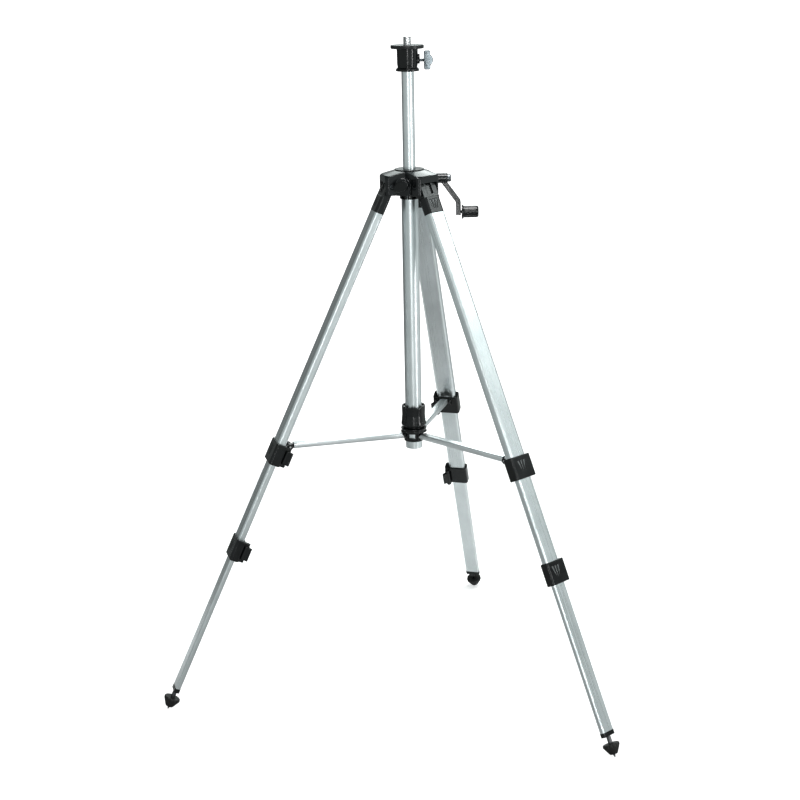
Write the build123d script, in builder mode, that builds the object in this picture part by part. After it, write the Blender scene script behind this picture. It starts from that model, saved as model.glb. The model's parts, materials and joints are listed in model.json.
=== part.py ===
"""Elevating crank tripod with a 5/8 inch instrument stud.

The column axis is Z and the feet stand at Z = 0. The legs point to 90, 210 and 330 degrees.
In a leg's own plane x runs across the leg, y points outward and z runs down the leg from the hinge.
"""
import os
from math import acos, cos, degrees, pi, radians, sin, sqrt, tan

from build123d import *

# Legs
LEG_AZIMUTHS = (90, 210, 330)
LEG_ANGLE = 25.0  # from vertical, when open
LEG_LENGTH = 1190.0  # hinge pin to spike point
HINGE_R = 43.5
HINGE_Z = LEG_LENGTH * cos(radians(LEG_ANGLE))

UPPER_TUBE = (42.0, 19.5, 6.0)  # across, through, corner radius
MIDDLE_TUBE = (36.8, 15.0, 4.4)
LOWER_TUBE = (31.6, 10.8, 3.4)
TUBE_WALL = 1.5

CAP_TOP = 26.0  # distances down the leg
CAP_BOTTOM = 59.4
UPPER_TUBE_END = 601.0
UPPER_COLLAR = (569.0, 615.0)
MIDDLE_TOP = 315.0
MIDDLE_TUBE_END = 819.0
LOWER_COLLAR = (787.0, 833.0)
LOWER_TOP = 643.0
PLUG_TOP = 1137.0
PLUG_BOTTOM = 1146.0
FOOT_TOP = 1162.0
FOOT_BOTTOM = 1183.0
FOOT_R = 17.0
FOOT_TIP_R = 8.5
FOOT_RIBS = 14
FOOT_GROOVE_R = 1.9
SPIKE_R = 4.5
SPIKE_TAPER = 1178.0
SPIKE_BURIED = 8.0
CAP_PLUG = 28.0
CAP_PROUD = 0.4
TONGUE_R = 9.0
TONGUE_HALF = 20.9
TONGUE_DISH = (15.0, 7.0)

# Column
COLUMN_R = 12.5
COLUMN_WALL = 3.6
COLUMN_BOTTOM = 727.0
COLUMN_TOP = 1301.0
OUTER_TUBE_R = 17.0
OUTER_TUBE_WALL = 2.0
OUTER_TUBE_BOTTOM = 525.0
OUTER_TUBE_TOP = 1075.0
COLUMN_PLUG = 14.0
SPIGOT_R = 9.0
SPIGOT_LENGTH = 30.0
GUIDE_BOTTOMS = (935.0, 1056.0)
GUIDE_LENGTH = 14.0

# Rack and pinion
GEAR_MODULE = 1.25
PINION_TEETH = 12
PINION_R = GEAR_MODULE * PINION_TEETH / 2
PINION_FACE = 8.0
PRESSURE_ANGLE = radians(20)
BACKLASH = 0.35
SHAFT_R = 4.0
SHAFT_TAIL = 12.0
CRANK_AZIMUTH = 15.0
CRANK_Z = 1086.0
RACK_ADDENDUM = 0.9
RACK_LINE = COLUMN_R - RACK_ADDENDUM
RACK_PITCH = pi * GEAR_MODULE
RACK_DOWN = 212.0  # length of rack above and below the pinion at rest
RACK_UP = 206.0

# Crown
CROWN_BOTTOM = 1060.0
CROWN_TOP = 1107.0
CROWN_HUB_R = 33.0
ARM_R = 56.0
ARM_WIDTH = 60.0
SLOT_WIDTH = 43.2
ARM_CORNER = 7.0
ARM_END_TOP = 1099.0
SLOT_INNER_R = 31.0
SLOT_TOP = 1091.0
BAND_THICK = 5.0
BAND_BOTTOM = 1085.0
HINGE_PIN_R = 4.0
COVER_R = 30.0
COVER_THICK = 2.0
RING_R = 20.0
RING_BOTTOM = 1049.0
LOCK_AZIMUTH = 268.0
LOCK_Z = 1080.0
LOCK_BOSS_R = 14.0
LOCK_BOSS_END = 46.0
KNOB_OVAL = (16.0, 9.6)
KNOB_TILT = 24.0
KNOB_DEPTH = 13.0
KNOB_EDGE = 1.8

# Crank, measured along its axis from the pinion
CRANK_BOSS = (26.0, 52.0)
CRANK_BOSS_R = 9.5
CRANK_HUB = (54.0, 77.0)
CRANK_HUB_R = 10.0
CRANK_NUT = 7.0
CRANK_NUT_R = 7.5
CRANK_BEND = ((68.0, -6.0), (98.0, -47.0), (98.0, -75.5))  # along and above the axis
CRANK_BAR = 10.0
CRANK_BAR_WIDTH = 11.0
GRIP_START = 105.0
GRIP_DROP = 69.0
GRIP_FLANGE = 3.0
GRIP_FLANGE_R = 14.5
GRIP_LENGTH = 34.0
GRIP_R = 12.0
GRIP_FLUTES = 12
GRIP_FLUTE_R = 1.5
SPINDLE_START = 93.5
SPINDLE_R = 3.0

# Head
PLATE_R = 33.0
PLATE_CHAMFER = 0.8
PLATE_THICK = 7.0
PLATE_TOP = 1352.0
STUD_R = 15.875 / 2
STUD_LENGTH = 16.0
STUD_COLLAR_R = 9.0  # the part held in the platform
STUD_SHANK = 9.0
STUD_SHANK_R = 6.0
STUD_CHAMFER = 1.2
HEAD_R = 21.0
HEAD_FLANGE_R = 23.0
WING_Z = 1322.0
WING_BOSS_R = 7.0
WING_BOSS_END = 24.5
WING_SCREW_R = 3.0
WING_START = 32.5
WING_WIDTH = 13.0
WING_HALF = 18.5
WING_THICK = 7.0
WING_CORNER = 3.4
WING_BULGE_R = 11.5

# Spreader
HUB_PIVOT_R = 26.0
LEG_PIVOT_S = 570.3
LEG_PIVOT_IN = 20.8
BRACE_PIN_R = 2.0
CHANNEL_WIDTH = 17.0
CHANNEL_WALL = 1.4
CHANNEL_LOW = -4.4  # below and above the line of the two pivots
CHANNEL_HIGH = 6.3
CHANNEL_END = 135.0  # from the hub pivot
BAR_START = 90.0
BAR_HALF = 5.6
BAR_TOP = -2.4
KNUCKLE_R = 4.9
KNUCKLE_HALF = 8.9
END_BLOCK = 26.0
HUB_BOTTOM = 541.0
HUB_SLEEVE_R = 20.5
HUB_EAVES = 560.5
HUB_FLANGE_R = 27.5
HUB_NECK = 570.0
HUB_TOP = 614.0
HUB_LUG_R = 4.2
HUB_KNOB_R = 26.0
HUB_KNOB_TOP = 617.0
HUB_FLUTES = 12
HUB_FLUTE_R = 2.4
HUB_SCALLOPS = 6
HUB_SCALLOP_R = 9.5
HUB_WINDOW = (16.0, 9.0)

# Lock collars, as (low x, high x, low y, high y) in the leg plane, and their levers
UPPER_BLOCK = (-26.0, 30.0, -12.0, 12.5)
LOWER_BLOCK = (-22.0, 29.0, -10.0, 10.5)
COLLAR_CORNER = 5.0
LIP = 8.5
MARK_PITCH = 8.5
MARK_WIDTH = 5.0
MARK_LEAN = 0.45
MARK_DEPTH = 1.1
COLLAR_MARK = 26.0
CAP_MARK = 22.0
LEVER_BOSS_R = 5.2
LEVER_INSET = 8.0
LEVER_REACH = 11.0
TRUNNION_R = 2.2
EAR_GAP = 9.3
EAR_THICK = 4.0
EAR_R = 6.0
PADDLE_HALF = 1.8

RUNNING = 0.05  # radial clearance of a turning fit
CLEAR = 0.3

os.makedirs("parts", exist_ok=True)


def save(builder, name):
    """Label the finished piece and write it."""
    builder.part.label = name
    export_step(builder.part, f"parts/{name}.step")


def direction(azimuth, tilt=0.0):
    """Unit vector at an azimuth, raised by tilt, both in degrees."""
    a, e = radians(azimuth), radians(tilt)
    return Vector(cos(a) * cos(e), sin(a) * cos(e), sin(e))


def radial_plane(azimuth, radius, z):
    """Plane square to the radial direction: x across, y up, z outward."""
    out = direction(azimuth)
    return Plane(origin=out * radius + Vector(0, 0, z), x_dir=direction(azimuth + 90), z_dir=out)


def side_plane(azimuth, origin):
    """Plane that holds the radial direction (x) and Z (y)."""
    return Plane(origin=origin, x_dir=direction(azimuth), z_dir=direction(azimuth - 90))


def leg_plane(azimuth):
    """Leg plane at the hinge: x across, y outward, z down the leg."""
    return Plane(
        origin=direction(azimuth) * HINGE_R + Vector(0, 0, HINGE_Z),
        x_dir=direction(azimuth + 90),
        z_dir=direction(azimuth, LEG_ANGLE - 90),
    )


def section(size, grow=0.0):
    """Rounded tube section (across, through, corner radius), grown by an offset."""
    width, depth, corner = size
    RectangleRounded(width + 2 * grow, depth + 2 * grow, max(corner + grow, 0.6))


# ---------------------------------------------------------------- linkage sizes
hub_pin_z = HINGE_Z - LEG_PIVOT_S * cos(radians(LEG_ANGLE)) - LEG_PIVOT_IN * sin(radians(LEG_ANGLE))
leg_pin_r = HINGE_R + LEG_PIVOT_S * sin(radians(LEG_ANGLE)) - LEG_PIVOT_IN * cos(radians(LEG_ANGLE))
brace_length = leg_pin_r - HUB_PIVOT_R
folded_offset = HINGE_R - LEG_PIVOT_IN - HUB_PIVOT_R
brace_fold = degrees(acos(folded_offset / brace_length))
hub_lift = HINGE_Z - LEG_PIVOT_S + sqrt(brace_length**2 - folded_offset**2) - hub_pin_z
print(f"hinge z {HINGE_Z:.3f}, hub pin z {hub_pin_z:.3f}, leg pin r {leg_pin_r:.3f}")
print(f"brace length {brace_length:.3f}, hub lift {hub_lift:.3f}, brace fold {brace_fold:.3f}")

# ---------------------------------------------------------------- column
rack_plane = side_plane(CRANK_AZIMUTH + 90, Vector(0, 0, CRANK_Z))
gap_depth = RACK_ADDENDUM + 1.25 * GEAR_MODULE
gap_mouth = RACK_PITCH / 4 + RACK_ADDENDUM * tan(PRESSURE_ANGLE)
gap_floor = gap_mouth - gap_depth * tan(PRESSURE_ANGLE)
first_gap = -round(RACK_DOWN / RACK_PITCH)
last_gap = round(RACK_UP / RACK_PITCH)

with BuildPart() as inner_column:
    with BuildSketch(Plane.XY.offset(COLUMN_BOTTOM)):
        Circle(COLUMN_R)
        Circle(COLUMN_R - COLUMN_WALL, mode=Mode.SUBTRACT)
    extrude(amount=COLUMN_TOP - COLUMN_BOTTOM)
    with BuildSketch(Plane.XY.offset(COLUMN_TOP - COLUMN_PLUG)):
        Circle(COLUMN_R - COLUMN_WALL)
    extrude(amount=COLUMN_PLUG)
    with BuildSketch(Plane.XY.offset(COLUMN_TOP)):
        Circle(SPIGOT_R)
    extrude(amount=SPIGOT_LENGTH)
    with BuildSketch(rack_plane):
        for gap in range(first_gap, last_gap + 1):
            middle = gap * RACK_PITCH
            with BuildLine():
                Polyline(
                    (COLUMN_R + 1, middle - gap_mouth),
                    (COLUMN_R, middle - gap_mouth),
                    (COLUMN_R - gap_depth, middle - gap_floor),
                    (COLUMN_R - gap_depth, middle + gap_floor),
                    (COLUMN_R, middle + gap_mouth),
                    (COLUMN_R + 1, middle + gap_mouth),
                    close=True,
                )
            make_face()
    extrude(amount=COLUMN_R, both=True, mode=Mode.SUBTRACT)
save(inner_column, "inner_column")

with BuildPart() as outer_tube:
    with BuildSketch(Plane.XY.offset(OUTER_TUBE_BOTTOM)):
        Circle(OUTER_TUBE_R)
        Circle(OUTER_TUBE_R - OUTER_TUBE_WALL, mode=Mode.SUBTRACT)
    extrude(amount=OUTER_TUBE_TOP - OUTER_TUBE_BOTTOM)
    fillet(outer_tube.edges().group_by(Axis.Z)[0], OUTER_TUBE_WALL / 2 - 0.1)
save(outer_tube, "outer_tube")

with BuildPart() as column_guides:
    for bottom in GUIDE_BOTTOMS:
        with BuildSketch(Plane.XY.offset(bottom)):
            Circle(OUTER_TUBE_R - OUTER_TUBE_WALL)
            Circle(COLUMN_R + RUNNING, mode=Mode.SUBTRACT)
        extrude(amount=GUIDE_LENGTH)
save(column_guides, "column_guides")

# ---------------------------------------------------------------- crown
crank_out = direction(CRANK_AZIMUTH)
pinion_centre = direction(CRANK_AZIMUTH + 90) * (RACK_LINE + PINION_R) + Vector(0, 0, CRANK_Z)


def crank_plane(along):
    """Plane square to the crank axis: x away from the column, y up, z along the axis."""
    origin = pinion_centre + crank_out * along
    return Plane(origin=origin, x_dir=direction(CRANK_AZIMUTH + 90), z_dir=crank_out)


with BuildPart() as crown_body:
    with BuildSketch(Plane.XY.offset(CROWN_BOTTOM)) as plan:
        Circle(CROWN_HUB_R)
        with PolarLocations(ARM_R / 2, len(LEG_AZIMUTHS), start_angle=LEG_AZIMUTHS[0]):
            Rectangle(ARM_R, ARM_WIDTH)
        arm_corners = plan.vertices().filter_by(lambda v: v.X**2 + v.Y**2 > ARM_R**2 + 100)
        fillet(arm_corners, ARM_CORNER)
    extrude(amount=CROWN_TOP - CROWN_BOTTOM)
    with BuildSketch(Plane.XZ):
        with BuildLine():
            Polyline(
                (0, CROWN_BOTTOM),
                (ARM_R + 10, CROWN_BOTTOM),
                (ARM_R + 10, ARM_END_TOP - 8),
                (ARM_R + 1, ARM_END_TOP),
                (COVER_R, CROWN_TOP),
                (0, CROWN_TOP),
                close=True,
            )
        make_face()
    revolve(axis=Axis.Z, mode=Mode.INTERSECT)
    with BuildSketch(radial_plane(LOCK_AZIMUTH, COLUMN_R + 8, LOCK_Z)):
        Circle(LOCK_BOSS_R)
        with Locations((0, (CROWN_BOTTOM - LOCK_Z) / 2)):
            Rectangle(2 * LOCK_BOSS_R, LOCK_Z - CROWN_BOTTOM)
    extrude(amount=LOCK_BOSS_END - COLUMN_R - 8)
    with BuildSketch(crank_plane(CRANK_BOSS[0])):
        Circle(CRANK_BOSS_R)
    extrude(amount=CRANK_BOSS[1] - CRANK_BOSS[0])
    for azimuth in LEG_AZIMUTHS:
        with BuildSketch(side_plane(azimuth, (0, 0, 0))):
            with BuildLine():
                Polyline(
                    (SLOT_INNER_R, CROWN_BOTTOM - 5),
                    (SLOT_INNER_R, SLOT_TOP - 3),
                    (SLOT_INNER_R + 3, SLOT_TOP),
                    (ARM_R - BAND_THICK, SLOT_TOP),
                    (ARM_R - BAND_THICK, BAND_BOTTOM),
                    (ARM_R + 5, BAND_BOTTOM),
                    (ARM_R + 5, CROWN_BOTTOM - 5),
                    close=True,
                )
            make_face()
        extrude(amount=SLOT_WIDTH / 2, both=True, mode=Mode.SUBTRACT)
        with BuildSketch(Plane(leg_plane(azimuth).origin, z_dir=direction(azimuth + 90))):
            Circle(HINGE_PIN_R)
        extrude(amount=ARM_WIDTH, both=True, mode=Mode.SUBTRACT)
    with BuildSketch(Plane.XY.offset(CROWN_BOTTOM)):
        Circle(COLUMN_R + 2 * CLEAR)
    extrude(amount=CROWN_TOP - CROWN_BOTTOM, mode=Mode.SUBTRACT)
    with BuildSketch(Plane.XY.offset(CROWN_BOTTOM)):
        Circle(OUTER_TUBE_R)
    extrude(amount=OUTER_TUBE_TOP - CROWN_BOTTOM, mode=Mode.SUBTRACT)
    with BuildSketch(crank_plane(-PINION_FACE / 2 - 1)):
        Circle(PINION_R + GEAR_MODULE + 2 * CLEAR)
    extrude(amount=PINION_FACE + 2, mode=Mode.SUBTRACT)
    with BuildSketch(crank_plane(-SHAFT_TAIL)):
        Circle(SHAFT_R + RUNNING)
    extrude(amount=SHAFT_TAIL + CRANK_BOSS[1] + 1, mode=Mode.SUBTRACT)
    with BuildSketch(radial_plane(LOCK_AZIMUTH, 0, LOCK_Z)):
        Circle(SHAFT_R + RUNNING)
    extrude(amount=LOCK_BOSS_END + 1, mode=Mode.SUBTRACT)
save(crown_body, "crown_body")

with BuildPart() as crown_cover:
    with BuildSketch(Plane.XY.offset(CROWN_TOP)):
        Circle(COVER_R)
        Circle(COLUMN_R + CLEAR, mode=Mode.SUBTRACT)
    extrude(amount=COVER_THICK)
    chamfer(crown_cover.edges().group_by(Axis.Z)[-1].sort_by(SortBy.RADIUS)[-1], 0.8)
save(crown_cover, "crown_cover")

with BuildPart() as crown_ring:
    with BuildSketch(Plane.XY.offset(RING_BOTTOM)):
        Circle(RING_R)
        Circle(OUTER_TUBE_R, mode=Mode.SUBTRACT)
        with Locations(Location((0, -RING_R, 0))):
            Rectangle(1.6, 8, mode=Mode.SUBTRACT)
    extrude(amount=CROWN_BOTTOM - RING_BOTTOM)
save(crown_ring, "crown_ring")

with BuildPart() as leg_hinge_pins:
    for azimuth in LEG_AZIMUTHS:
        with BuildSketch(Plane(leg_plane(azimuth).origin, z_dir=direction(azimuth + 90))):
            Circle(HINGE_PIN_R)
        extrude(amount=ARM_WIDTH / 2 - 0.5, both=True)
save(leg_hinge_pins, "leg_hinge_pins")

# ---------------------------------------------------------------- column lock
with BuildPart() as lock_knob:
    with BuildSketch(radial_plane(LOCK_AZIMUTH, COLUMN_R + CLEAR, LOCK_Z)):
        Circle(SHAFT_R)
    extrude(amount=LOCK_BOSS_END - COLUMN_R)
    with BuildSketch(radial_plane(LOCK_AZIMUTH, LOCK_BOSS_END + CLEAR, LOCK_Z)):
        Ellipse(*KNOB_OVAL, rotation=KNOB_TILT)
    extrude(amount=KNOB_DEPTH)
    rims = lock_knob.edges().filter_by(GeomType.ELLIPSE)
    fillet(rims, KNOB_EDGE)
save(lock_knob, "column_lock_knob")

# ---------------------------------------------------------------- crank
base_r = PINION_R * cos(PRESSURE_ANGLE)
tip_r = PINION_R + GEAR_MODULE - 0.2
root_r = PINION_R - 1.25 * GEAR_MODULE


def involute(angle):
    """Involute function of a pressure angle in radians."""
    return tan(angle) - angle


def flank(radius):
    """Half the angle that a pinion tooth covers at this radius."""
    pitch_half = (RACK_PITCH / 2 - BACKLASH) / (2 * PINION_R)
    return pitch_half + involute(PRESSURE_ANGLE) - involute(acos(min(1.0, base_r / radius)))


def tooth_outline(middle):
    """Corner points of one pinion tooth centred on an angle."""
    radii = [root_r - 0.5, base_r, (base_r + PINION_R) / 2, PINION_R, (PINION_R + tip_r) / 2, tip_r]
    rising = [(r, middle - flank(max(r, base_r))) for r in radii]
    falling = [(r, middle + flank(max(r, base_r))) for r in reversed(radii)]
    return [(r * cos(a), r * sin(a)) for r, a in rising + falling]


with BuildPart() as crank_shaft:
    with BuildSketch(crank_plane(-PINION_FACE / 2)):
        Circle(root_r)
        for tooth in range(PINION_TEETH):
            with BuildLine():
                Polyline(*tooth_outline(pi + tooth * 2 * pi / PINION_TEETH), close=True)
            make_face()
    extrude(amount=PINION_FACE)
    with BuildSketch(crank_plane(-SHAFT_TAIL + CLEAR)):
        Circle(SHAFT_R)
    extrude(amount=SHAFT_TAIL - CLEAR + CRANK_HUB[1])
    with BuildSketch(crank_plane(CRANK_HUB[1])):
        Circle(CRANK_NUT_R)
    extrude(amount=CRANK_NUT)
    fillet(crank_shaft.edges().sort_by(Axis(pinion_centre, crank_out))[-1], 2.5)
save(crank_shaft, "crank_shaft")

arm_plane = Plane(origin=pinion_centre, x_dir=crank_out, z_dir=direction(CRANK_AZIMUTH - 90))
with BuildPart() as crank_arm:
    with BuildSketch(crank_plane(CRANK_HUB[0])):
        Circle(CRANK_HUB_R)
    extrude(amount=CRANK_HUB[1] - CRANK_HUB[0])
    fillet(crank_arm.edges().filter_by(GeomType.CIRCLE), 1.2)
    with BuildSketch(arm_plane):
        with BuildLine():
            FilletPolyline(*CRANK_BEND, radius=8)
        trace(line_width=CRANK_BAR)
    extrude(amount=CRANK_BAR_WIDTH / 2, both=True)
    with BuildSketch(crank_plane(SPINDLE_START - 2)):
        with Locations((0, -GRIP_DROP)):
            Circle(SPINDLE_R + RUNNING)
    extrude(amount=GRIP_START - SPINDLE_START + 2, mode=Mode.SUBTRACT)
    with BuildSketch(crank_plane(CRANK_HUB[0] - 1)):
        Circle(SHAFT_R)
    extrude(amount=CRANK_HUB[1] - CRANK_HUB[0] + 1, mode=Mode.SUBTRACT)
save(crank_arm, "crank_arm")

with BuildPart() as crank_grip:
    with BuildSketch(crank_plane(GRIP_START)):
        with Locations((0, -GRIP_DROP)):
            Circle(GRIP_FLANGE_R)
    extrude(amount=GRIP_FLANGE)
    with BuildSketch(crank_plane(GRIP_START + GRIP_FLANGE)):
        with Locations((0, -GRIP_DROP)):
            Circle(GRIP_R)
    extrude(amount=GRIP_LENGTH - GRIP_FLANGE)
    fillet(crank_grip.edges().sort_by(Axis(pinion_centre, crank_out))[-1], 4)
    with BuildSketch(crank_plane(GRIP_START + 5)):
        with Locations((0, -GRIP_DROP)):
            with PolarLocations(GRIP_R + 0.6, GRIP_FLUTES):
                Circle(GRIP_FLUTE_R)
    extrude(amount=GRIP_LENGTH - 10, mode=Mode.SUBTRACT)
    with BuildSketch(crank_plane(SPINDLE_START)):
        with Locations((0, -GRIP_DROP)):
            Circle(SPINDLE_R)
    extrude(amount=GRIP_START - SPINDLE_START)
save(crank_grip, "crank_grip")

# ---------------------------------------------------------------- head
with BuildPart() as head_body:
    with BuildSketch(Plane.XZ):
        with BuildLine():
            Polyline(
                (SPIGOT_R + RUNNING, COLUMN_TOP + CLEAR),
                (HEAD_FLANGE_R, COLUMN_TOP + CLEAR),
                (HEAD_FLANGE_R, COLUMN_TOP + 4.5),
                (HEAD_R - 1.5, COLUMN_TOP + 7.5),
                (HEAD_R - 0.5, COLUMN_TOP + 14),
                (HEAD_R, PLATE_TOP - PLATE_THICK),
                (0, PLATE_TOP - PLATE_THICK),
                (0, COLUMN_TOP + SPIGOT_LENGTH + 1),
                (SPIGOT_R + RUNNING, COLUMN_TOP + SPIGOT_LENGTH + 1),
                close=True,
            )
        make_face()
    revolve(axis=Axis.Z)
    with BuildSketch(radial_plane(CRANK_AZIMUTH, SPIGOT_R + 2, WING_Z)):
        Circle(WING_BOSS_R)
        with Locations((0, 8)):
            Circle(WING_BOSS_R - 3)
    extrude(amount=WING_BOSS_END - SPIGOT_R - 2)
    with BuildSketch(radial_plane(CRANK_AZIMUTH, 0, WING_Z)):
        Circle(WING_SCREW_R + RUNNING)
    extrude(amount=WING_BOSS_END + 1, mode=Mode.SUBTRACT)
    with BuildSketch(Plane.XY.offset(PLATE_TOP - PLATE_THICK)):
        Circle(STUD_SHANK_R)
    extrude(amount=-STUD_SHANK, mode=Mode.SUBTRACT)
save(head_body, "head_body")

with BuildPart() as mounting_plate:
    with BuildSketch(Plane.XY.offset(PLATE_TOP - PLATE_THICK)):
        Circle(PLATE_R)
        Circle(STUD_COLLAR_R, mode=Mode.SUBTRACT)
    extrude(amount=PLATE_THICK)
    rims = mounting_plate.edges().filter_by(GeomType.CIRCLE)
    chamfer(rims.sort_by(SortBy.RADIUS)[-2:], PLATE_CHAMFER)
save(mounting_plate, "mounting_plate")

with BuildPart() as instrument_stud:
    with BuildSketch(Plane.XY.offset(PLATE_TOP)):
        Circle(STUD_R)
    extrude(amount=STUD_LENGTH)
    chamfer(instrument_stud.edges().group_by(Axis.Z)[-1], STUD_CHAMFER)
    with BuildSketch(Plane.XY.offset(PLATE_TOP)):
        Circle(STUD_COLLAR_R)
    extrude(amount=-PLATE_THICK)
    with BuildSketch(Plane.XY.offset(PLATE_TOP - PLATE_THICK)):
        Circle(STUD_SHANK_R)
    extrude(amount=1 - STUD_SHANK)
save(instrument_stud, "instrument_stud")

with BuildPart() as wing_screw:
    with BuildSketch(radial_plane(CRANK_AZIMUTH, SPIGOT_R + CLEAR, WING_Z)):
        Circle(WING_SCREW_R)
    extrude(amount=WING_START - SPIGOT_R)
    with BuildSketch(side_plane(CRANK_AZIMUTH, (0, 0, WING_Z))):
        with Locations((WING_START + WING_WIDTH / 2, 0)):
            RectangleRounded(WING_WIDTH, 2 * WING_HALF, WING_CORNER)
            Circle(WING_BULGE_R)
        with Locations((WING_START - WING_BULGE_R, 0)):
            Rectangle(2 * WING_BULGE_R, 4 * WING_HALF, mode=Mode.SUBTRACT)
    extrude(amount=WING_THICK / 2, both=True)
save(wing_screw, "wing_screw")

# ---------------------------------------------------------------- spreader hub
with BuildPart() as spreader_hub:
    with BuildSketch(Plane.XZ):
        with BuildLine():
            Polyline(
                (OUTER_TUBE_R + CLEAR, HUB_BOTTOM),
                (HUB_SLEEVE_R, HUB_BOTTOM),
                (HUB_SLEEVE_R, HUB_EAVES),
                (HUB_FLANGE_R, HUB_EAVES),
                (HUB_FLANGE_R - 2.0, HUB_EAVES + 4),
                (HUB_FLANGE_R - 0.5, HUB_NECK - 1.5),
                (HUB_SLEEVE_R + 1.5, HUB_NECK),
                (HUB_SLEEVE_R, HUB_NECK),
                (HUB_SLEEVE_R, HUB_TOP),
                (OUTER_TUBE_R + CLEAR, HUB_TOP),
                close=True,
            )
        make_face()
    revolve(axis=Axis.Z)
    for azimuth in LEG_AZIMUTHS:
        with BuildSketch(side_plane(azimuth, (0, 0, hub_pin_z))):
            with Locations((HUB_PIVOT_R, 0)):
                Circle(HUB_LUG_R)
            with Locations(((HUB_PIVOT_R + OUTER_TUBE_R + 2) / 2, 0)):
                Rectangle(HUB_PIVOT_R - OUTER_TUBE_R - 2, 2 * HUB_LUG_R)
        extrude(amount=CHANNEL_WIDTH / 2 - CHANNEL_WALL - 0.4, both=True)
        with BuildSketch(side_plane(azimuth, (0, 0, hub_pin_z))):
            with Locations((HUB_PIVOT_R, 0)):
                Circle(BRACE_PIN_R)
        extrude(amount=CHANNEL_WIDTH, both=True, mode=Mode.SUBTRACT)
        with BuildSketch(radial_plane(azimuth + 60, 0, hub_pin_z)):
            Rectangle(*HUB_WINDOW)
        extrude(amount=HUB_FLANGE_R, mode=Mode.SUBTRACT)
save(spreader_hub, "spreader_hub")

with BuildPart() as hub_pins:
    for azimuth in LEG_AZIMUTHS:
        with BuildSketch(side_plane(azimuth, (0, 0, hub_pin_z))):
            with Locations((HUB_PIVOT_R, 0)):
                Circle(BRACE_PIN_R)
        extrude(amount=CHANNEL_WIDTH / 2 + 1, both=True)
save(hub_pins, "hub_pins")

with BuildPart() as hub_knob:
    with BuildSketch(Plane.XZ):
        with BuildLine():
            Polyline(
                (HUB_SLEEVE_R + CLEAR, HUB_NECK + 2),
                (HUB_KNOB_R - 2.5, HUB_NECK + 2),
                (HUB_KNOB_R, HUB_NECK + 7),
                (HUB_KNOB_R - 2, HUB_NECK + 26),
                (HUB_KNOB_R - 1.5, HUB_KNOB_TOP),
                (HUB_SLEEVE_R + CLEAR, HUB_KNOB_TOP),
                close=True,
            )
        make_face()
    revolve(axis=Axis.Z)
    with BuildSketch(Plane.XY.offset(HUB_NECK + 4)):
        with PolarLocations(HUB_KNOB_R + 1.2, HUB_FLUTES):
            Circle(HUB_FLUTE_R)
    extrude(amount=HUB_KNOB_TOP - HUB_NECK, mode=Mode.SUBTRACT)
    for scallop in range(HUB_SCALLOPS):
        with BuildSketch(radial_plane(scallop * 360 / HUB_SCALLOPS + 15, 0, HUB_KNOB_TOP + 6)):
            Circle(HUB_SCALLOP_R)
        extrude(amount=HUB_KNOB_R + 5, mode=Mode.SUBTRACT)
save(hub_knob, "hub_knob")


# ---------------------------------------------------------------- legs
def outer_plane(plane, height):
    """Plane on a leg's outer side: x across the leg, y up the leg, z outward."""
    return Plane(origin=plane.origin + plane.y_dir * height, x_dir=plane.x_dir, z_dir=plane.y_dir)


def marks(top, length):
    """Three slim wedges that lean together downward, for a sketch on an outer plane."""
    for middle in (-MARK_PITCH, 0, MARK_PITCH):
        tip = (middle * MARK_LEAN, -top - length)
        corners = ((middle - MARK_WIDTH / 2, -top), tip, (middle + MARK_WIDTH / 2, -top))
        Polygon(*corners, align=None)


def lever_pivot(block):
    """Lever pivot of a collar, beside its inner corner, as (x, y) in the leg plane."""
    return block[1] - LEVER_INSET, block[2] - LEVER_BOSS_R - 0.4


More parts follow.
